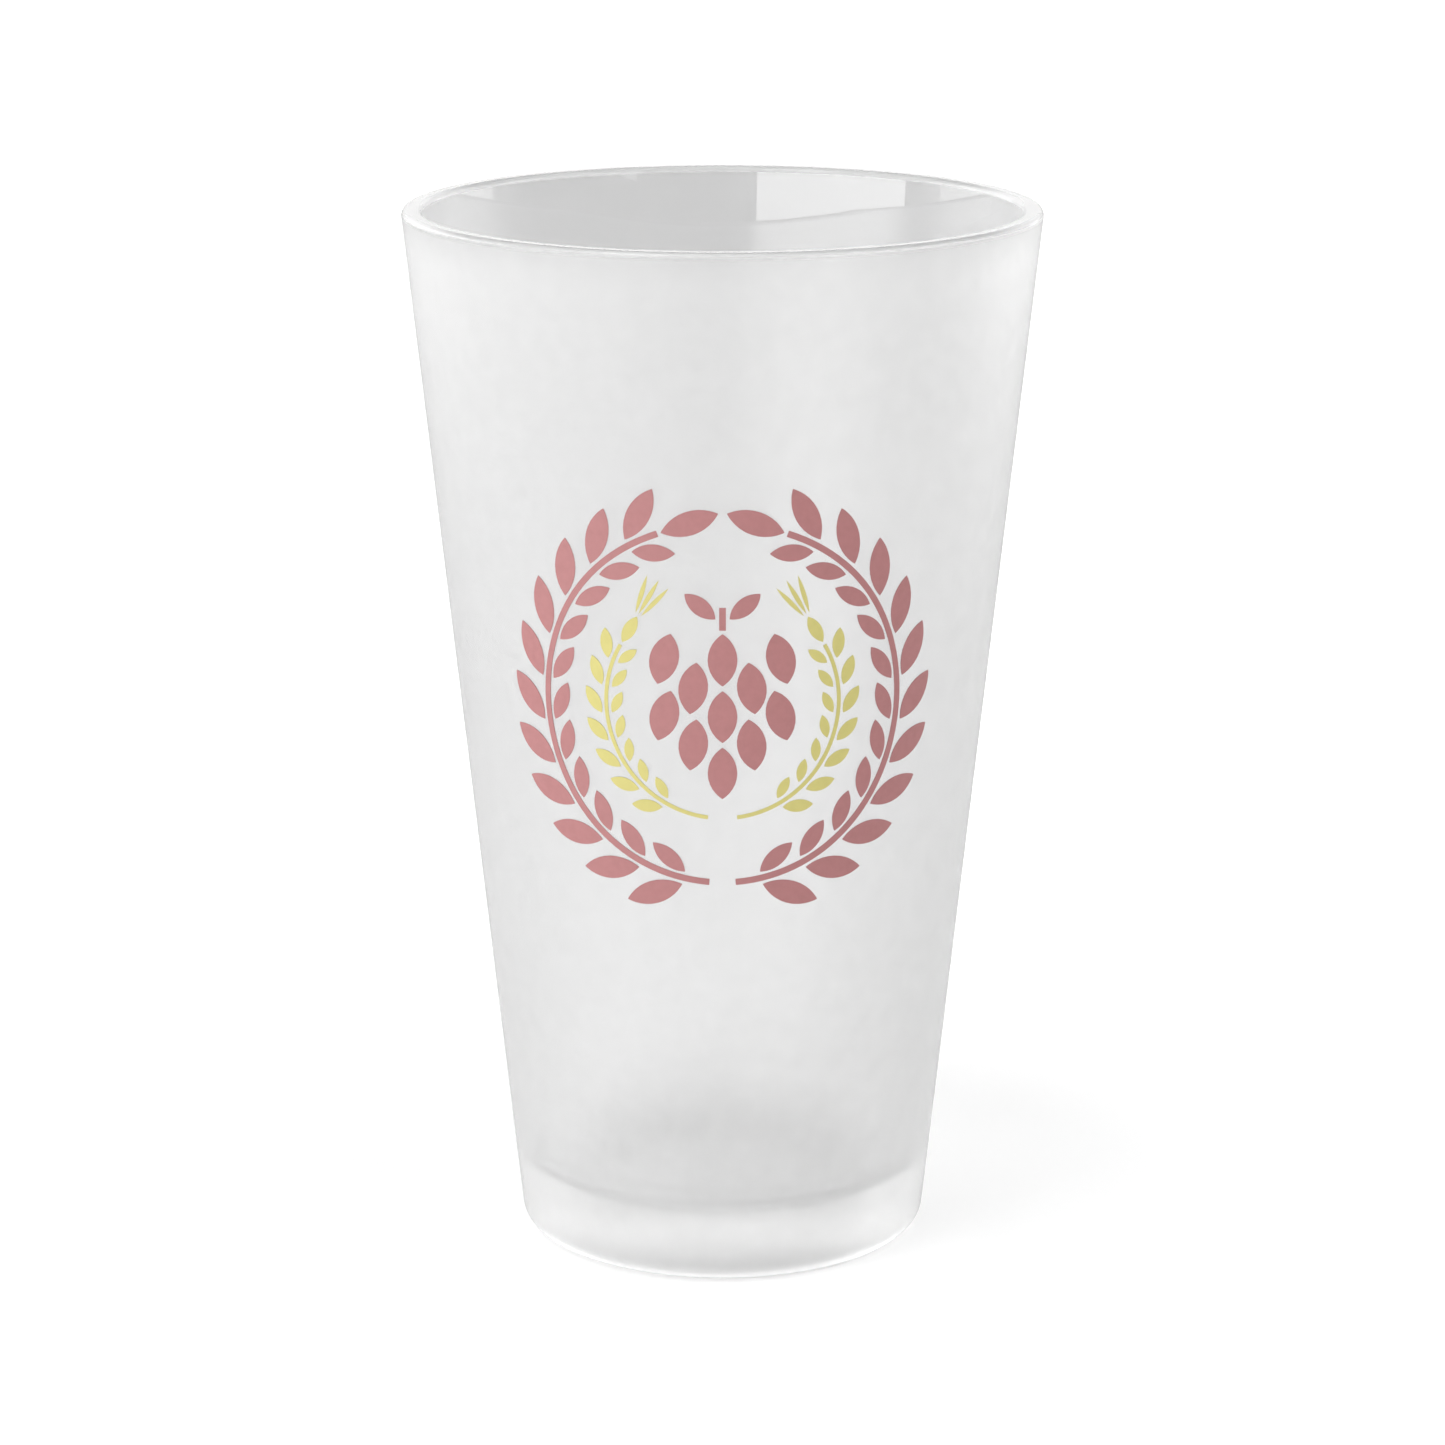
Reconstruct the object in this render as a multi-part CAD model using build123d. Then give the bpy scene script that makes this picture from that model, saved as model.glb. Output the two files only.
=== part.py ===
from build123d import *
import math
import os

# A 16 oz frosted pint glass: a thick pressed-glass tumbler, a satin coat on its outside,
# and a two-colour print on the front of the coat.
# Millimetres. Origin: centre of the foot, on the table plane. +Z is up, the print faces -Y.

# ---- driving dimensions: glass and coat ---------------------------------------------------

HEIGHT = 149.2              # table to the top of the lip
RIM_RADIUS = 44.95          # outside cone, over the coat, carried up to the top plane
FOOT_RADIUS = 29.25         # outside cone, over the coat, carried down to the table plane
HEEL_RADIUS = 3.0           # rounding between the cone and the foot, over the coat

COAT_THICKNESS = 0.1        # satin coat
COAT_TOP = 148.2            # the coat stops here, under the bare glass lip
COAT_FOOT_ANGLE = 65.0      # degrees below level, round the heel, where the coat stops

WALL_AT_RIM = 3.0           # level thickness of wall and coat at the top plane
WALL_AT_FOOT = 5.3          # level thickness of wall and coat at the table plane
FLOOR_HEIGHT = 9.4          # top of the heavy glass base
FLOOR_FILLET = 6.0          # inside corner between the floor and the wall
LIP_OUTER_RADIUS = 0.9      # fire-polished lip, outside
LIP_INNER_RADIUS = 1.0      # fire-polished lip, inside

FOOT_RING_INNER = 21.5      # the glass stands on a flat ring outside this radius
PUSH_UP = 1.4               # depth of the shallow dome under the base
RING_EDGE_FILLET = 0.8      # softened edge between the ring and the dome

# ---- driving dimensions: print ------------------------------------------------------------
# Angles are counted down each side from the top of the print. Spreads and tilts are degrees
# between a shape and the line that it grows from.

INK_THICKNESS = 0.1         # each printed colour
PRINT_CENTRE = 87.0         # height of the middle of the print
PRINT_REACH = 36.0          # the print stays within this of its middle, up and down
STENCIL_GAP = 0.5           # bare coat left between neighbouring printed shapes

WREATH_RADIUS = 25.6        # rose branches
WREATH_STEM_WIDTH = 0.9
WREATH_START = 176.0        # foot of the stem
WREATH_END = 20.0           # tip of the stem
WREATH_FIRST_PAIR = 168.0
WREATH_LAST_PAIR = 30.0
WREATH_PAIRS = 11
OUTER_LEAF = (8.2, 3.3, 32.0)       # length, width, spread
INNER_LEAF = (6.0, 2.4, 30.0)

EAR_RADIUS = 16.2           # yellow barley ears
EAR_STEM_WIDTH = 0.55
EAR_START = 173.0
EAR_END = 60.0
EAR_FIRST_PAIR = 151.0
EAR_LAST_PAIR = 69.0
EAR_PAIRS = 7
OUTER_GRAIN = (4.3, 1.8, 27.0)      # length, width, spread
INNER_GRAIN = (3.4, 1.4, 32.0)
AWN = (5.6, 0.65, 13.0)             # bristles at the tip of an ear

HOP_SCALE = (7.4, 4.0)      # length and width of the hop cone's pointed scales
SCALE_PITCH = 8.1           # down one column of scales
COLUMN_PITCH = 3.95         # from one column of scales to the next
COLUMN_TILT = 7.0           # more for each column out from the middle
HOP_ROWS = {0: (1, 0, -1), 1: (0.5, -0.5), 2: (1, 0)}   # scales by column, in pitches
HOP_DROP = -1.6             # middle of the hop cone, from the middle of the print
STALK_LENGTH = 3.2
STALK_WIDTH = 0.9
HOP_LEAF = (5.4, 2.4, 50.0)         # length, width, spread

# ---- geometry shared by the sub-parts -----------------------------------------------------

TAPER = math.atan((RIM_RADIUS - FOOT_RADIUS) / HEIGHT)
COAT_STEP = COAT_THICKNESS / math.cos(TAPER)
INK_STEP = INK_THICKNESS / math.cos(TAPER)


def outside_radius(z):
    """Radius of the coat's outside cone at height z."""
    return FOOT_RADIUS + z * math.tan(TAPER)


PRINT_RADIUS = outside_radius(PRINT_CENTRE)
GLASS_HEEL_RADIUS = HEEL_RADIUS - COAT_THICKNESS
HEEL_CENTRE = (
    outside_radius(GLASS_HEEL_RADIUS) - HEEL_RADIUS / math.cos(TAPER),
    GLASS_HEEL_RADIUS,
)


def turned(face):
    """A full turn about Z of a face drawn as (r, z)."""
    return revolve(Plane.XZ * face, axis=Axis.Z)


# ---- glass and coat -----------------------------------------------------------------------


def glass_body():
    """The pressed glass: tapered wall, heavy base, rounded lip, domed underside."""
    rim = (RIM_RADIUS - COAT_STEP, HEIGHT)
    foot = (FOOT_RADIUS - COAT_STEP, 0)
    inner_rim = (RIM_RADIUS - WALL_AT_RIM, HEIGHT)
    inner_foot_radius = FOOT_RADIUS - WALL_AT_FOOT
    inner_taper = (inner_rim[0] - inner_foot_radius) / HEIGHT
    floor_corner = (inner_foot_radius + inner_taper * FLOOR_HEIGHT, FLOOR_HEIGHT)
    ring_edge = (FOOT_RING_INNER, 0)
    dome_top = (0, PUSH_UP)
    face = make_face([
        TangentArc(dome_top, ring_edge, tangent=(1, 0)),
        Polyline(ring_edge, foot, rim, inner_rim, floor_corner, (0, FLOOR_HEIGHT), dome_top),
    ])
    roundings = {
        ring_edge: RING_EDGE_FILLET,
        foot: GLASS_HEEL_RADIUS,
        rim: LIP_OUTER_RADIUS,
        inner_rim: LIP_INNER_RADIUS,
        floor_corner: FLOOR_FILLET,
    }
    for corner, radius in roundings.items():
        face = fillet(face.vertices().sort_by_distance(corner)[0], radius)
    return turned(face)


def on_heel(radius, degrees_below_level):
    """A point on a circle about the heel's centre, as (r, z)."""
    angle = math.radians(degrees_below_level)
    return (
        HEEL_CENTRE[0] + radius * math.cos(angle),
        HEEL_CENTRE[1] - radius * math.sin(angle),
    )


def heel_arc(radius):
    """From the cone round the heel to the coat's lower edge."""
    start = math.degrees(TAPER)
    stops = (start, (start + COAT_FOOT_ANGLE) / 2, COAT_FOOT_ANGLE)
    return ThreePointArc(*[on_heel(radius, stop) for stop in stops])


def frost_coating():
    """The satin coat: the outside cone and most of the heel, clear of the table and the lip."""
    outer_heel = heel_arc(HEEL_RADIUS)
    inner_heel = heel_arc(GLASS_HEEL_RADIUS)
    top = outside_radius(COAT_TOP)
    return turned(make_face([
        outer_heel,
        Polyline(outer_heel @ 0, (top, COAT_TOP), (top - COAT_STEP, COAT_TOP), inner_heel @ 0),
        inner_heel,
        Line(inner_heel @ 1, outer_heel @ 1),
    ]))


# ---- printed shapes -----------------------------------------------------------------------
# The artwork is drawn flat as (across, up) from the middle of the print, then wrapped.

MIDDLE = (0.0, 0.0)


def wrapped(point):
    """Where a flat artwork point is seen from straight in front, once it is on the glass."""
    across, up = point
    return (PRINT_RADIUS * math.sin(across / PRINT_RADIUS), PRINT_CENTRE + up)


def towards(start, direction, distance):
    """The flat point at a distance from start, in a direction turning from up to across."""
    angle = math.radians(direction)
    return (start[0] + distance * math.sin(angle), start[1] + distance * math.cos(angle))


def blade(base, direction, length, width):
    """A pointed shape between two arcs: a leaf, a grain, a bristle or a scale."""
    tip = towards(base, direction, length)
    waist = towards(base, direction, length / 2)
    sides = [towards(waist, direction + turn, width / 2) for turn in (90, -90)]
    return make_face(
        [ThreePointArc(wrapped(base), wrapped(side), wrapped(tip)) for side in sides]
    )


def stem(side, radius, start, end, width):
    """A band along an arc about the middle of the print, down one side of it."""
    stops = 9
    angles = [start + (end - start) * i / (stops - 1) for i in range(stops)]
    outer, inner = [
        [wrapped(towards(MIDDLE, side * angle, radius + half)) for angle in angles]
        for half in (width / 2, -width / 2)
    ]
    return make_face(
        [Spline(outer), Spline(inner), Line(outer[0], inner[0]), Line(outer[-1], inner[-1])]
    )


def sprig(side, radius, stem_width, stem_span, pair_span, pairs, outer, inner):
    """A curved stem with blades in pairs along it and one at its tip."""
    stem_start, stem_end = stem_span
    first, last = pair_span
    clearance = stem_width / 2 + STENCIL_GAP
    shapes = [stem(side, radius, stem_start, stem_end, stem_width)]
    for i in range(pairs):
        angle = first + (last - first) * i / (pairs - 1)
        for out, (length, width, spread) in ((1, outer), (-1, inner)):
            base = towards(MIDDLE, side * angle, radius + out * clearance)
            direction = side * (angle - 90 + out * spread)
            shapes.append(blade(base, direction, length, width))
    tip = towards(MIDDLE, side * (stem_end - math.degrees(STENCIL_GAP / radius)), radius)
    shapes.append(blade(tip, side * (stem_end - 90), *outer[:2]))
    return shapes


def branch(side):
    """One leafy rose branch of the wreath."""
    return sprig(
        side, WREATH_RADIUS, WREATH_STEM_WIDTH, (WREATH_START, WREATH_END),
        (WREATH_FIRST_PAIR, WREATH_LAST_PAIR), WREATH_PAIRS, OUTER_LEAF, INNER_LEAF,
    )


def barley_ear(side):
    """One yellow ear: grains in pairs along a stem, with three bristles at its tip."""
    shapes = sprig(
        side, EAR_RADIUS, EAR_STEM_WIDTH, (EAR_START, EAR_END),
        (EAR_FIRST_PAIR, EAR_LAST_PAIR), EAR_PAIRS, OUTER_GRAIN, INNER_GRAIN,
    )
    heading = side * (EAR_END - 90)
    length, width, spread = AWN
    ear_tip = towards(towards(MIDDLE, side * EAR_END, EAR_RADIUS), heading, OUTER_GRAIN[0])
    for turn in (-spread, 0, spread):
        base = towards(ear_tip, heading + 2 * turn, 2 * STENCIL_GAP)
        shapes.append(blade(base, heading + turn, length, width))
    return shapes


def hop_cone():
    """A rose hop cone: columns of pointed scales under a stalk and two small leaves."""
    length, width = HOP_SCALE
    shapes = []
    for column in range(-2, 3):
        tilt = column * COLUMN_TILT
        for row in HOP_ROWS[abs(column)]:
            middle = (column * COLUMN_PITCH, HOP_DROP + row * SCALE_PITCH)
            shapes.append(blade(towards(middle, -tilt, length / 2), 180 - tilt, length, width))
    stalk_foot = HOP_DROP + SCALE_PITCH + length / 2 + STENCIL_GAP
    stalk = Rectangle(STALK_WIDTH, STALK_LENGTH, align=(Align.CENTER, Align.MIN))
    shapes.append(Pos(0, PRINT_CENTRE + stalk_foot) * stalk)
    leaf_length, leaf_width, spread = HOP_LEAF
    for side in (1, -1):
        base = (side * (STALK_WIDTH / 2 + STENCIL_GAP), stalk_foot + STALK_LENGTH / 2)
        shapes.append(blade(base, side * spread, leaf_length, leaf_width))
    return shapes


def printed(shapes):
    """The shapes as ink of even thickness on the coat."""
    low = PRINT_CENTRE - PRINT_REACH
    high = PRINT_CENTRE + PRINT_REACH
    skin = turned(make_face(Polyline(
        (outside_radius(low), low),
        (outside_radius(high), high),
        (outside_radius(high) + INK_STEP, high),
        (outside_radius(low) + INK_STEP, low),
        (outside_radius(low), low),
    )))
    ink = []
    for shape in shapes:
        ink += (skin & extrude(Plane.XZ * shape, RIM_RADIUS + INK_STEP)).solids()
    return Compound(ink)


def print_rose():
    """The wreath and the hop cone."""
    return printed(branch(1) + branch(-1) + hop_cone())


def print_yellow():
    """The two ears of barley."""
    return printed(barley_ear(1) + barley_ear(-1))


os.makedirs("parts", exist_ok=True)
for sub_part in (glass_body, frost_coating, print_rose, print_yellow):
    export_step(sub_part(), f"parts/{sub_part.__name__}.step")
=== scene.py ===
import math

import bmesh
import bpy
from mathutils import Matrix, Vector


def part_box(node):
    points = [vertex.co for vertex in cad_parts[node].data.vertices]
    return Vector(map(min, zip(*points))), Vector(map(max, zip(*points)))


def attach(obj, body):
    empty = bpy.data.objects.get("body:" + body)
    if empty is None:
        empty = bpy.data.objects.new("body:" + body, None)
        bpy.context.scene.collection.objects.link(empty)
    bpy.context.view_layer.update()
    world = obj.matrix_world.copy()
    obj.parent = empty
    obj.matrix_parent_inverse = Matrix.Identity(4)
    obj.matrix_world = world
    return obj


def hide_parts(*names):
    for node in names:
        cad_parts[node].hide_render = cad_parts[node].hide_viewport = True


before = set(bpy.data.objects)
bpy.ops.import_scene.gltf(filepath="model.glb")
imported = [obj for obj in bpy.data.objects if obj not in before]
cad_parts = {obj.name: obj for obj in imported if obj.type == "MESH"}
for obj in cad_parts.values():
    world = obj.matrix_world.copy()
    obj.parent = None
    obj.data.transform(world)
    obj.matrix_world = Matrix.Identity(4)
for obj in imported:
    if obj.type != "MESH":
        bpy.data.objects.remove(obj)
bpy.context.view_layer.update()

# A frosted pint glass on a white table. Lengths are metres, angles degrees unless a name says so.
# The glass stands at the origin, +Z is up and the print faces -Y.

MM = 0.001

# ---- sizes, as in the CAD source ----------------------------------------------------------

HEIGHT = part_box("glass_body")[1][2]
COAT_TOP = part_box("frost_coating")[1][2]
RIM_RADIUS = 44.95 * MM         # outside cone, over the coat, at the top plane
FOOT_RADIUS = 29.25 * MM        # outside cone, over the coat, at the table plane
HEEL_RADIUS = 3.0 * MM
COAT_THICKNESS = 0.1 * MM
COAT_FOOT_ANGLE = 65.0          # below level, round the heel, where the coat stops
WALL_AT_RIM = 3.0 * MM
WALL_AT_FOOT = 5.3 * MM
FLOOR_HEIGHT = 9.4 * MM
FLOOR_FILLET = 6.0 * MM
LIP_OUTER_RADIUS = 0.9 * MM
LIP_INNER_RADIUS = 1.0 * MM
FOOT_RING_INNER = 21.5 * MM
PUSH_UP = 1.4 * MM
RING_EDGE_FILLET = 0.8 * MM
INK_THICKNESS = 0.1 * MM
HAIRLINE = 0.02 * MM            # keeps touching skins from sharing a surface

# ---- the print, drawn flat in millimetres from its middle ---------------------------------

PRINT_CENTRE = 87.0 * MM
STENCIL_GAP = 0.5
WREATH_RADIUS = 25.6
WREATH_STEM_WIDTH = 0.9
WREATH_SPAN = (176.0, 20.0)
WREATH_PAIR_SPAN = (168.0, 30.0)
WREATH_PAIRS = 11
OUTER_LEAF = (8.2, 3.3, 32.0)       # length, width, spread
INNER_LEAF = (6.0, 2.4, 30.0)
EAR_RADIUS = 16.2
EAR_STEM_WIDTH = 0.55
EAR_SPAN = (173.0, 60.0)
EAR_PAIR_SPAN = (151.0, 69.0)
EAR_PAIRS = 7
OUTER_GRAIN = (4.3, 1.8, 27.0)
INNER_GRAIN = (3.4, 1.4, 32.0)
AWN = (5.6, 0.65, 13.0)
HOP_SCALE = (7.4, 4.0)
SCALE_PITCH = 8.1
COLUMN_PITCH = 3.95
COLUMN_TILT = 7.0
HOP_ROWS = {0: (1, 0, -1), 1: (0.5, -0.5), 2: (1, 0)}
HOP_DROP = -1.6
STALK_LENGTH = 3.2
STALK_WIDTH = 0.9
HOP_LEAF = (5.4, 2.4, 50.0)

TURN_STEPS = 288                # faces round the glass
WALL_STEPS = 28                 # faces up a wall
DOME_STEPS = 12                 # faces across the underside's dome
FOOT_STEPS = 4                  # faces across the ring that the glass stands on
LIP_STEPS = 3                   # faces across the level top of the lip
FLOOR_STEPS = 8                 # faces across the inside floor
COAT_HEEL_STEPS = 8             # faces round the coat's heel
BLADE_STEPS = 14                # faces along a leaf, grain or scale
STEM_STEPS = 60                 # faces along a stem
ARC_STEP = 9.0                  # between points on a rounded corner
SHARP_EDGE = 40.0               # a print edge that folds further than this stays crisp
FROST_TOP = COAT_TOP + 0.4 * MM     # the frost runs on over the lip's rounding
FROST_FOOT = 0.3 * MM               # and stops this far above the table
TAPER = math.atan((RIM_RADIUS - FOOT_RADIUS) / HEIGHT)


def outside_radius(z):
    """Radius of the coat's outside cone at height z."""
    return FOOT_RADIUS + z * math.tan(TAPER)


PRINT_RADIUS = outside_radius(PRINT_CENTRE)

# ---- mesh helpers -------------------------------------------------------------------------


def finished_mesh(name, mesh, materials):
    """A smooth-shaded object on body root from a bmesh."""
    bmesh.ops.recalc_face_normals(mesh, faces=mesh.faces)
    data = bpy.data.meshes.new(name)
    mesh.to_mesh(data)
    mesh.free()
    for material in materials:
        data.materials.append(material)
    data.shade_smooth()
    piece = bpy.data.objects.new(name, data)
    bpy.context.scene.collection.objects.link(piece)
    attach(piece, "root")
    return piece


def rounded_corner(before, corner, after, radius):
    """Points along the arc that rounds a corner of an (r, z) outline."""
    corner = Vector(corner)
    back = (Vector(before) - corner).normalized()
    ahead = (Vector(after) - corner).normalized()
    half = back.angle(ahead) / 2
    centre = corner + (back + ahead).normalized() * radius / math.sin(half)
    start = corner + back * radius / math.tan(half) - centre
    end = corner + ahead * radius / math.tan(half) - centre
    sweep = math.copysign(math.pi - 2 * half, start.x * end.y - start.y * end.x)
    count = max(2, math.ceil(abs(math.degrees(sweep)) / ARC_STEP))
    points = []
    for i in range(count + 1):
        angle = sweep * i / count
        turned = Vector((
            start.x * math.cos(angle) - start.y * math.sin(angle),
            start.x * math.sin(angle) + start.y * math.cos(angle),
        ))
        points.append(centre + turned)
    return points


def straight(start, end, count):
    """Points strictly between two ends."""
    start = Vector(start)
    end = Vector(end)
    return [start.lerp(end, i / count) for i in range(1, count)]


def lathe(name, outline, slots, materials):
    """A closed body of revolution. Outline points on the axis become single vertices, and
    each point's slot is that of the faces from it to the next point."""
    mesh = bmesh.new()
    rings = []
    for point in outline:
        if point[0] < HAIRLINE:
            rings.append([mesh.verts.new((0, 0, point[1]))])
            continue
        ring = []
        for i in range(TURN_STEPS):
            angle = 2 * math.pi * i / TURN_STEPS
            ring.append(mesh.verts.new((
                point[0] * math.sin(angle), -point[0] * math.cos(angle), point[1],
            )))
        rings.append(ring)
    closed = len(rings[0]) > 1
    pairs = list(zip(rings, rings[1:] + rings[:1])) if closed else list(zip(rings, rings[1:]))
    for index, (low, high) in enumerate(pairs):
        for i in range(TURN_STEPS):
            j = (i + 1) % TURN_STEPS
            corners = [low[i % len(low)], low[j % len(low)], high[j % len(high)], high[i % len(high)]]
            face = mesh.faces.new(list(dict.fromkeys(corners)))
            face.material_index = slots[index]
    return finished_mesh(name, mesh, materials)


# ---- node helpers -------------------------------------------------------------------------

NOISE_SPAN = (0.3, 0.7)         # where nearly all of a noise texture's values lie
RELIEF_DEPTH = 0.02 * MM
GLASS_IOR = 1.5


def new_material(name):
    """A material with one Principled shader, as (material, nodes, links, shader)."""
    material = bpy.data.materials.new(name)
    material.use_nodes = True
    nodes = material.node_tree.nodes
    return material, nodes, material.node_tree.links, nodes["Principled BSDF"]


def noise(nodes, links, scale, detail, seed):
    """3-D noise over the object, in features per metre."""
    place = nodes.new("ShaderNodeTexCoord")
    shift = nodes.new("ShaderNodeMapping")
    shift.inputs["Location"].default_value = (seed, 2 * seed, 3 * seed)
    texture = nodes.new("ShaderNodeTexNoise")
    texture.inputs["Scale"].default_value = scale
    texture.inputs["Detail"].default_value = detail
    links.new(place.outputs["Object"], shift.inputs["Vector"])
    links.new(shift.outputs["Vector"], texture.inputs["Vector"])
    return texture.outputs["Fac"]


def spread(nodes, links, value, source, target, curve="LINEAR"):
    """A value carried from the source span to the target span and held at its ends."""
    carry = nodes.new("ShaderNodeMapRange")
    carry.interpolation_type = curve
    carry.inputs["From Min"].default_value = source[0]
    carry.inputs["From Max"].default_value = source[1]
    carry.inputs["To Min"].default_value = target[0]
    carry.inputs["To Max"].default_value = target[1]
    links.new(value, carry.inputs["Value"])
    return carry.outputs["Result"]


def product(nodes, links, one, other):
    """Two values multiplied."""
    times = nodes.new("ShaderNodeMath")
    times.operation = "MULTIPLY"
    links.new(one, times.inputs[0])
    links.new(other, times.inputs[1])
    return times.outputs["Value"]


def ranged(nodes, links, value, low, high):
    """Noise spread over low to high."""
    return spread(nodes, links, value, NOISE_SPAN, (low, high))


def bump(nodes, links, shader, value, strength):
    """Relief on a shader from a 0 to 1 value."""
    relief = nodes.new("ShaderNodeBump")
    relief.inputs["Distance"].default_value = RELIEF_DEPTH
    relief.inputs["Strength"].default_value = strength
    links.new(value, relief.inputs["Height"])
    links.new(relief.outputs["Normal"], shader.inputs["Normal"])


# ---- materials ----------------------------------------------------------------------------


def new_glass(name, tint, transmission=1.0):
    """A glass material, as (material, nodes, links, shader)."""
    material, nodes, links, shader = new_material(name)
    shader.inputs["Base Color"].default_value = (tint, tint, tint, 1)
    shader.inputs["Transmission Weight"].default_value = transmission
    shader.inputs["IOR"].default_value = GLASS_IOR
    return material, nodes, links, shader


def clear_glass_material():
    """The bare inside: clear, with faint smears and slow waves."""
    material, nodes, links, shader = new_glass("clear_glass", 0.995)
    smears = noise(nodes, links, scale=45.0, detail=3.0, seed=1.0)
    links.new(ranged(nodes, links, smears, 0.0, 0.03), shader.inputs["Roughness"])
    waves = noise(nodes, links, scale=60.0, detail=1.0, seed=2.0)
    bump(nodes, links, shader, waves, strength=0.5)
    return material


def lip_material():
    """The rounded lip, softly polished and a little milky."""
    material, nodes, links, shader = new_glass("fire_polished_lip", 0.88, transmission=0.6)
    ripple = noise(nodes, links, scale=90.0, detail=2.0, seed=8.0)
    links.new(ranged(nodes, links, ripple, 0.18, 0.22), shader.inputs["Roughness"])
    bump(nodes, links, shader, ripple, strength=0.3)
    return material


def foot_material():
    """The underside, dulled by the mould and by standing on tables."""
    material, nodes, links, shader = new_glass("pressed_foot", 0.995)
    ripple = noise(nodes, links, scale=150.0, detail=2.0, seed=9.0)
    links.new(ranged(nodes, links, ripple, 0.27, 0.33), shader.inputs["Roughness"])
    bump(nodes, links, shader, ripple, strength=0.3)
    return material


def frosted_glass_material():
    """The frosted face under the coat, which blurs what lies behind it."""
    material, nodes, links, shader = new_glass("frosted_glass", 0.975)
    mottle = noise(nodes, links, scale=220.0, detail=4.0, seed=3.0)
    links.new(ranged(nodes, links, mottle, 0.385, 0.415), shader.inputs["Roughness"])
    grain = noise(nodes, links, scale=3500.0, detail=2.0, seed=4.0)
    bump(nodes, links, shader, grain, strength=0.3)
    return material


def coat_material():
    """The satin coat: a thin matt veil over the frosted glass."""
    material, nodes, links, shader = new_material("satin_coat")
    shader.inputs["Base Color"].default_value = (0.9, 0.9, 0.9, 1)
    mottle = noise(nodes, links, scale=300.0, detail=4.0, seed=5.0)
    links.new(ranged(nodes, links, mottle, 0.6, 0.72), shader.inputs["Roughness"])
    links.new(ranged(nodes, links, mottle, 0.08, 0.10), shader.inputs["Alpha"])
    grain = noise(nodes, links, scale=3500.0, detail=2.0, seed=4.0)
    bump(nodes, links, shader, grain, strength=0.3)
    return material


def ink_material(name, colour, shade):
    """A matt ink, mottled between its colour and a shade of it."""
    material, nodes, links, shader = new_material(name)
    mottle = noise(nodes, links, scale=900.0, detail=5.0, seed=6.0)
    mix = nodes.new("ShaderNodeMix")
    mix.data_type = "RGBA"
    mix.inputs["A"].default_value = (*colour, 1)
    mix.inputs["B"].default_value = (*[channel * shade for channel in colour], 1)
    links.new(ranged(nodes, links, mottle, 0.0, 1.0), mix.inputs["Factor"])
    links.new(mix.outputs["Result"], shader.inputs["Base Color"])
    links.new(ranged(nodes, links, mottle, 0.45, 0.6), shader.inputs["Roughness"])
    grain = noise(nodes, links, scale=4000.0, detail=2.0, seed=7.0)
    bump(nodes, links, shader, grain, strength=0.4)
    return material


# ---- glass and coat -----------------------------------------------------------------------

CLEAR, FROSTED, LIP, FOOT = range(4)    # the glass's material slots


def glass_outline():
    """The (r, z) outline of the pressed glass in four runs: underside, frosted outside, lip
    and clear inside."""
    step = COAT_THICKNESS / math.cos(TAPER)
    foot = (FOOT_RADIUS - step, HAIRLINE)
    rim = (RIM_RADIUS - step, HEIGHT)
    inner_rim = (RIM_RADIUS - WALL_AT_RIM, HEIGHT)
    inner_foot_radius = FOOT_RADIUS - WALL_AT_FOOT
    inner_taper = (inner_rim[0] - inner_foot_radius) / HEIGHT
    floor_corner = (inner_foot_radius + inner_taper * FLOOR_HEIGHT, FLOOR_HEIGHT)
    floor_middle = (0, FLOOR_HEIGHT)
    ring_edge = (FOOT_RING_INNER, HAIRLINE)
    dome = []
    for i in range(DOME_STEPS):
        share = i / DOME_STEPS
        dome.append(Vector((FOOT_RING_INNER * share, PUSH_UP * (1 - share ** 2))))
    ring_arc = rounded_corner(dome[-1], ring_edge, foot, RING_EDGE_FILLET)
    heel = rounded_corner(ring_edge, foot, rim, HEEL_RADIUS - COAT_THICKNESS)
    lip_out = rounded_corner(foot, rim, inner_rim, LIP_OUTER_RADIUS)
    lip_in = rounded_corner(rim, inner_rim, floor_corner, LIP_INNER_RADIUS)
    floor_arc = rounded_corner(inner_rim, floor_corner, floor_middle, FLOOR_FILLET)
    bare = [point for point in heel if point.y < FROST_FOOT]
    underside = dome + ring_arc + straight(ring_arc[-1], heel[0], FOOT_STEPS) + bare
    outside = heel[len(bare):] + straight(heel[-1], lip_out[0], WALL_STEPS)
    frosted_lip = [point for point in lip_out if point.y < FROST_TOP]
    lip = lip_out[len(frosted_lip):] + straight(lip_out[-1], lip_in[0], LIP_STEPS) + lip_in[:-1]
    inside = (
        lip_in[-1:] + straight(lip_in[-1], floor_arc[0], WALL_STEPS) + floor_arc
        + straight(floor_arc[-1], floor_middle, FLOOR_STEPS) + [Vector(floor_middle)]
    )
    return underside, outside + frosted_lip, lip, inside


def build_glass():
    """The pressed glass, with one material for each run of its outline."""
    runs = glass_outline()
    outline = [point for run in runs for point in run]
    run_slots = (FOOT, FROSTED, LIP, CLEAR)
    slots = [slot for slot, run in zip(run_slots, runs) for point in run]
    materials = [
        clear_glass_material(), frosted_glass_material(), lip_material(), foot_material(),
    ]
    piece = lathe("glass_body_visual", outline, slots, materials)
    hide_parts("glass_body")
    return piece


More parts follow.
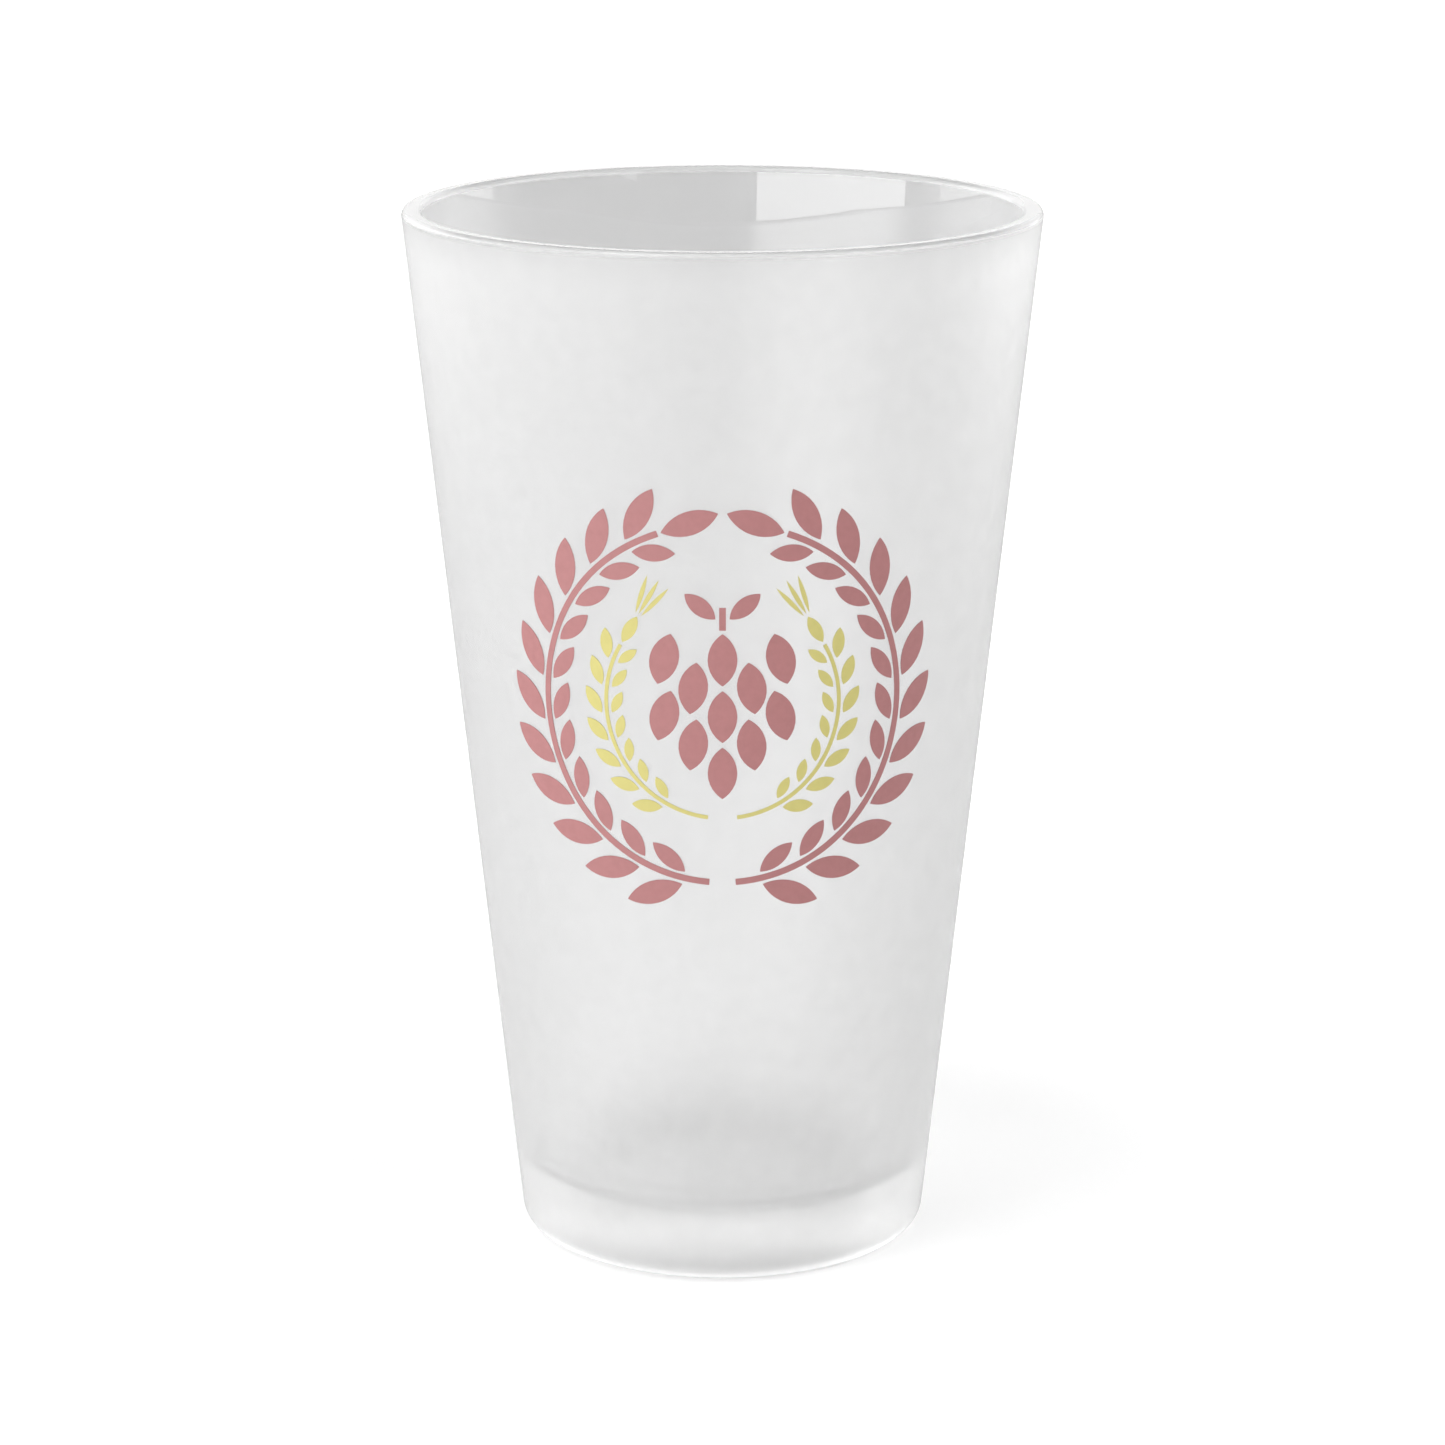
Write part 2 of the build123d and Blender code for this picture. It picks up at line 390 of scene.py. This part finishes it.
def build_coat():
    """A thin closed skin a hairline off the glass, from the lip round the heel."""
    glass_heel = HEEL_RADIUS - COAT_THICKNESS
    centre = Vector((outside_radius(glass_heel) - HEEL_RADIUS / math.cos(TAPER), glass_heel))

    def skin(offset):
        heel = []
        for i in range(COAT_HEEL_STEPS + 1):
            share = i / COAT_HEEL_STEPS
            angle = TAPER + (math.radians(COAT_FOOT_ANGLE) - TAPER) * (1 - share)
            heel.append(centre + offset * Vector((math.cos(angle), -math.sin(angle))))
        top = Vector((
            outside_radius(COAT_TOP) - (HEEL_RADIUS - offset) / math.cos(TAPER), COAT_TOP,
        ))
        return heel + straight(heel[-1], top, WALL_STEPS) + [top]

    outer = skin(HEEL_RADIUS)
    inner = skin(glass_heel + HAIRLINE)
    outline = outer + inner[::-1]
    piece = lathe("frost_coating_visual", outline, [0] * len(outline), [coat_material()])
    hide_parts("frost_coating")
    return piece


# ---- print --------------------------------------------------------------------------------


def towards(start, direction, distance):
    """The flat point at a distance from start, in a direction turning from up to across."""
    angle = math.radians(direction)
    return Vector((
        start[0] + distance * math.sin(angle), start[1] + distance * math.cos(angle),
    ))


def on_glass(point, lift):
    """A flat artwork point, in millimetres, wrapped round the cone and lifted off the coat."""
    x = PRINT_RADIUS * math.sin(point[0] * MM / PRINT_RADIUS)
    z = PRINT_CENTRE + point[1] * MM
    radius = outside_radius(z)
    y = -math.sqrt(radius ** 2 - x ** 2)
    level = math.cos(TAPER)
    return Vector((
        x + lift * level * x / radius, y + lift * level * y / radius, z - lift * math.sin(TAPER),
    ))


def blade(base, direction, length, width):
    """A pointed shape between two arcs, as rows of points across it from base to tip."""
    bulge = width / length
    radius = length / 4 * (bulge + 1 / bulge)
    rows = []
    for i in range(BLADE_STEPS + 1):
        along = length * (1 - math.cos(math.pi * i / BLADE_STEPS)) / 2
        half = math.sqrt(radius ** 2 - (along - length / 2) ** 2) - (radius - width / 2)
        middle = towards(base, direction, along)
        rows.append([towards(middle, direction + 90, max(half, 0) * k) for k in (-1, 0, 1)])
    return rows


def stem(side, radius, start, end, width):
    """A band along an arc about the print's middle, as rows of points across it."""
    rows = []
    for i in range(STEM_STEPS + 1):
        angle = side * (start + (end - start) * i / STEM_STEPS)
        rows.append([towards((0, 0), angle, radius + k * width / 2) for k in (-1, 0, 1)])
    return rows


def sprig(side, radius, stem_width, stem_span, pair_span, pairs, outer, inner):
    """A curved stem with blades in pairs along it and one at its tip."""
    stem_start, stem_end = stem_span
    first, last = pair_span
    clearance = stem_width / 2 + STENCIL_GAP
    shapes = [stem(side, radius, stem_start, stem_end, stem_width)]
    for i in range(pairs):
        angle = first + (last - first) * i / (pairs - 1)
        for out, (length, width, spread) in ((1, outer), (-1, inner)):
            base = towards((0, 0), side * angle, radius + out * clearance)
            direction = side * (angle - 90 + out * spread)
            shapes.append(blade(base, direction, length, width))
    tip = towards((0, 0), side * (stem_end - math.degrees(STENCIL_GAP / radius)), radius)
    shapes.append(blade(tip, side * (stem_end - 90), *outer[:2]))
    return shapes


def branch(side):
    """One leafy rose branch of the wreath."""
    return sprig(
        side, WREATH_RADIUS, WREATH_STEM_WIDTH, WREATH_SPAN,
        WREATH_PAIR_SPAN, WREATH_PAIRS, OUTER_LEAF, INNER_LEAF,
    )


def barley_ear(side):
    """One yellow ear: grains in pairs along a stem, with three bristles at its tip."""
    shapes = sprig(
        side, EAR_RADIUS, EAR_STEM_WIDTH, EAR_SPAN,
        EAR_PAIR_SPAN, EAR_PAIRS, OUTER_GRAIN, INNER_GRAIN,
    )
    heading = side * (EAR_SPAN[1] - 90)
    length, width, spread = AWN
    stem_tip = towards((0, 0), side * EAR_SPAN[1], EAR_RADIUS)
    ear_tip = towards(stem_tip, heading, OUTER_GRAIN[0])
    for turn in (-spread, 0, spread):
        base = towards(ear_tip, heading + 2 * turn, 2 * STENCIL_GAP)
        shapes.append(blade(base, heading + turn, length, width))
    return shapes


def hop_cone():
    """A rose hop cone: columns of pointed scales under a stalk and two small leaves."""
    length, width = HOP_SCALE
    shapes = []
    for column in range(-2, 3):
        tilt = column * COLUMN_TILT
        for row in HOP_ROWS[abs(column)]:
            middle = (column * COLUMN_PITCH, HOP_DROP + row * SCALE_PITCH)
            top = towards(middle, -tilt, length / 2)
            shapes.append(blade(top, 180 - tilt, length, width))
    stalk_foot = HOP_DROP + SCALE_PITCH + length / 2 + STENCIL_GAP
    shapes.append([
        [Vector((k * STALK_WIDTH / 2, stalk_foot + share * STALK_LENGTH)) for k in (-1, 0, 1)]
        for share in (0, 0.5, 1)
    ])
    leaf_length, leaf_width, spread = HOP_LEAF
    for side in (1, -1):
        base = (side * (STALK_WIDTH / 2 + STENCIL_GAP), stalk_foot + STALK_LENGTH / 2)
        shapes.append(blade(base, side * spread, leaf_length, leaf_width))
    return shapes


def add_ink(mesh, rows):
    """One printed shape as a closed sliver of ink, from rows of points across it."""
    layers = []
    for lift in (HAIRLINE, INK_THICKNESS):
        layers.append([[mesh.verts.new(on_glass(p, lift)) for p in row] for row in rows])
    inside, outside = layers
    last = len(rows[0]) - 1
    for i in range(len(rows) - 1):
        for k in range(last):
            for layer in layers:
                mesh.faces.new((
                    layer[i][k], layer[i][k + 1], layer[i + 1][k + 1], layer[i + 1][k],
                ))
        for k in (0, last):
            mesh.faces.new((inside[i][k], inside[i + 1][k], outside[i + 1][k], outside[i][k]))
    for row in (0, -1):
        for k in range(last):
            mesh.faces.new((
                inside[row][k], inside[row][k + 1], outside[row][k + 1], outside[row][k],
            ))


def build_print(node, shapes, material):
    """All shapes of one ink as one piece, standing in for its CAD node."""
    mesh = bmesh.new()
    for rows in shapes:
        add_ink(mesh, rows)
    bmesh.ops.remove_doubles(mesh, verts=mesh.verts, dist=HAIRLINE / 10)
    piece = finished_mesh(node + "_visual", mesh, [material])
    piece.data.set_sharp_from_angle(angle=math.radians(SHARP_EDGE))
    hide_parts(node)
    return piece


# ---- studio -------------------------------------------------------------------------------

TABLE_REACH = 30.0
TABLE_PAINT = 0.9
TABLE_GLOW = 0.24
TABLE_BLEACH = (0.15, 0.8)      # extra white that the camera sees, by the glass and far from it
BLEACH_REACH = (0.065, 0.25)    # how far out from the glass's axis those two lie
SWEEP_WHITE = 1.1               # what the camera sees past the table

# Upright panels of light round the glass: azimuth span, lowest and highest edge, radiance.
# Azimuth runs left from straight in front.
PANEL_DISTANCE = 0.8
PANELS = {
    "key": (14.0, 79.0, 0.0, 0.36, 4.9),
    "left_back": (97.0, 150.0, 0.0, 0.25, 1.3),
    "right_back": (-150.0, -105.0, 0.0, 0.25, 2.2),
    "right": (-105.0, -35.0, 0.3, 0.9, 2.2),
}
LAMP_AZIMUTH = 45.0             # a smaller square light above, which casts the shadow
LAMP_HEIGHT = 60.0
LAMP_DISTANCE = 0.8
LAMP_SIDE = 0.31
LAMP_RADIANCE = 3.2
# The glow of the far backdrop by azimuth, once round from the left side to the right.
BACKDROP = (
    (90, 1.7), (80, 0.3), (30, 0.5), (-30, 0.5), (-85, 0.3), (-95, 1.8), (-205, 1.9), (-215, 3.0),
    (-260, 3.0), (-270, 1.7),
)
BACKDROP_TOP = 29.0             # above level, where it fades into the dark ceiling
BACKDROP_FADE = 6.0
HORIZON_SHARE = 0.45            # of the backdrop's glow, level with the table
HORIZON_RISE = 14.0             # above level, where it reaches the full glow


def table_material():
    """Matt white that glows a little, and more for the camera the further it lies."""
    material, nodes, links, shader = new_material("white_table")
    shader.inputs["Base Color"].default_value = (TABLE_PAINT, TABLE_PAINT, TABLE_PAINT, 1)
    shader.inputs["Roughness"].default_value = 0.9
    shader.inputs["Specular IOR Level"].default_value = 0.0
    shader.inputs["Emission Color"].default_value = (1, 1, 1, 1)
    place = nodes.new("ShaderNodeTexCoord")
    away = nodes.new("ShaderNodeVectorMath")
    away.operation = "LENGTH"
    seen = nodes.new("ShaderNodeLightPath")
    glow = nodes.new("ShaderNodeMath")
    glow.operation = "MULTIPLY_ADD"
    glow.inputs[2].default_value = TABLE_GLOW
    links.new(place.outputs["Object"], away.inputs["Vector"])
    bleach = spread(nodes, links, away.outputs["Value"], BLEACH_REACH, TABLE_BLEACH)
    links.new(bleach, glow.inputs[0])
    links.new(seen.outputs["Is Camera Ray"], glow.inputs[1])
    links.new(glow.outputs["Value"], shader.inputs["Emission Strength"])
    return material


def build_table():
    """A white table out to the horizon."""
    mesh = bmesh.new()
    bmesh.ops.create_grid(mesh, x_segments=2, y_segments=2, size=TABLE_REACH)
    data = bpy.data.meshes.new("table")
    mesh.to_mesh(data)
    mesh.free()
    data.materials.append(table_material())
    table = bpy.data.objects.new("table", data)
    bpy.context.scene.collection.objects.link(table)


def add_area_light(name, place, facing_from, size, radiance):
    """A rectangular light at a place, turned to shine against a direction."""
    light = bpy.data.lights.new(name, "AREA")
    light.shape = "RECTANGLE"
    light.size, light.size_y = size
    light.energy = radiance * math.pi * size[0] * size[1]
    lamp = bpy.data.objects.new(name, light)
    lamp.location = place
    lamp.rotation_euler = facing_from.to_track_quat("Z", "Y").to_euler()
    lamp.visible_camera = False
    bpy.context.scene.collection.objects.link(lamp)


def outward(azimuth, height):
    """The direction away from the glass at an azimuth and a height above level."""
    left = math.radians(azimuth)
    up = math.radians(height)
    return Vector((-math.sin(left) * math.cos(up), -math.cos(left) * math.cos(up), math.sin(up)))


def build_lights():
    """The upright panels and the lamp."""
    for name, (azimuth_from, azimuth_to, low, high, radiance) in PANELS.items():
        away = outward((azimuth_from + azimuth_to) / 2, 0)
        width = 2 * PANEL_DISTANCE * math.tan(math.radians(azimuth_to - azimuth_from) / 2)
        place = PANEL_DISTANCE * away + Vector((0, 0, (low + high) / 2))
        add_area_light(name, place, away, (width, high - low), radiance)
    away = outward(LAMP_AZIMUTH, LAMP_HEIGHT)
    place = LAMP_DISTANCE * away + Vector((0, 0, HEIGHT / 2))
    add_area_light("lamp", place, away, (LAMP_SIDE, LAMP_SIDE), LAMP_RADIANCE)


def sine_span(low, high):
    """Two heights above level as the Z parts of directions."""
    return math.sin(math.radians(low)), math.sin(math.radians(high))


def backdrop_glow(nodes, links, direction):
    """The backdrop's glow by azimuth."""
    round_glass = nodes.new("ShaderNodeTexGradient")
    round_glass.gradient_type = "RADIAL"
    ramp = nodes.new("ShaderNodeValToRGB")
    stops = ramp.color_ramp.elements
    for azimuth, level in BACKDROP[1:-1]:
        stops.new((BACKDROP[0][0] - azimuth) / 360)
    for stop, (azimuth, level) in zip(stops, BACKDROP):
        stop.color = (level, level, level, 1)
    links.new(direction, round_glass.inputs["Vector"])
    links.new(round_glass.outputs["Fac"], ramp.inputs["Fac"])
    return ramp.outputs["Color"]


def glow_share(nodes, links, direction):
    """The share of that glow by height: low at the horizon, full above it, none overhead."""
    split = nodes.new("ShaderNodeSeparateXYZ")
    links.new(direction, split.inputs["Vector"])
    height = split.outputs["Z"]
    top = sine_span(BACKDROP_TOP - BACKDROP_FADE, BACKDROP_TOP + BACKDROP_FADE)
    fade = spread(nodes, links, height, top, (1.0, 0.0), "SMOOTHSTEP")
    rise = spread(nodes, links, height, sine_span(0, HORIZON_RISE), (HORIZON_SHARE, 1.0))
    return product(nodes, links, fade, rise)


def build_room():
    """A glowing backdrop under a dark ceiling; the camera itself sees plain white."""
    world = bpy.data.worlds.new("room")
    bpy.context.scene.world = world
    world.use_nodes = True
    nodes = world.node_tree.nodes
    links = world.node_tree.links
    direction = nodes.new("ShaderNodeTexCoord").outputs["Generated"]
    seen = nodes.new("ShaderNodeLightPath")
    pick = nodes.new("ShaderNodeMix")
    pick.inputs["B"].default_value = SWEEP_WHITE
    room_glow = product(
        nodes, links, backdrop_glow(nodes, links, direction), glow_share(nodes, links, direction),
    )
    sky = nodes["Background"]
    sky.inputs["Color"].default_value = (1, 1, 1, 1)
    links.new(room_glow, pick.inputs["A"])
    links.new(seen.outputs["Is Camera Ray"], pick.inputs["Factor"])
    links.new(pick.outputs["Result"], sky.inputs["Strength"])


# Where the camera stands, fitted to the outline of the glass.
CAMERA_DISTANCE = 0.6075
CAMERA_HEIGHT = 0.2342
CAMERA_PITCH = 14.72        # below level
LENS_PER_FRAME_WIDTH = 3.0216


def build_camera():
    """The camera, straight in front of the print and looking a little down."""
    camera = bpy.data.objects.new("camera", bpy.data.cameras.new("camera"))
    camera.location = (0, -CAMERA_DISTANCE, CAMERA_HEIGHT)
    camera.rotation_euler = (math.radians(90 - CAMERA_PITCH), 0, 0)
    camera.data.lens = LENS_PER_FRAME_WIDTH * camera.data.sensor_width
    bpy.context.scene.collection.objects.link(camera)
    bpy.context.scene.camera = camera


# ---- build --------------------------------------------------------------------------------

ROSE = (0.392, 0.164, 0.164)
YELLOW = (0.56, 0.503, 0.167)

build_glass()
build_coat()
build_print(
    "print_rose", branch(1) + branch(-1) + hop_cone(),
    ink_material("rose_ink", ROSE, 0.93),
)
build_print(
    "print_yellow", barley_ear(1) + barley_ear(-1),
    ink_material("yellow_ink", YELLOW, 0.95),
)
build_table()
build_lights()
build_room()
build_camera()
bpy.context.scene.view_settings.view_transform = "Standard"
light_paths = bpy.context.scene.cycles
light_paths.max_bounces = 32            # light crosses the walls and the lip many times
light_paths.transmission_bounces = 32
light_paths.glossy_bounces = 16
light_paths.transparent_max_bounces = 32
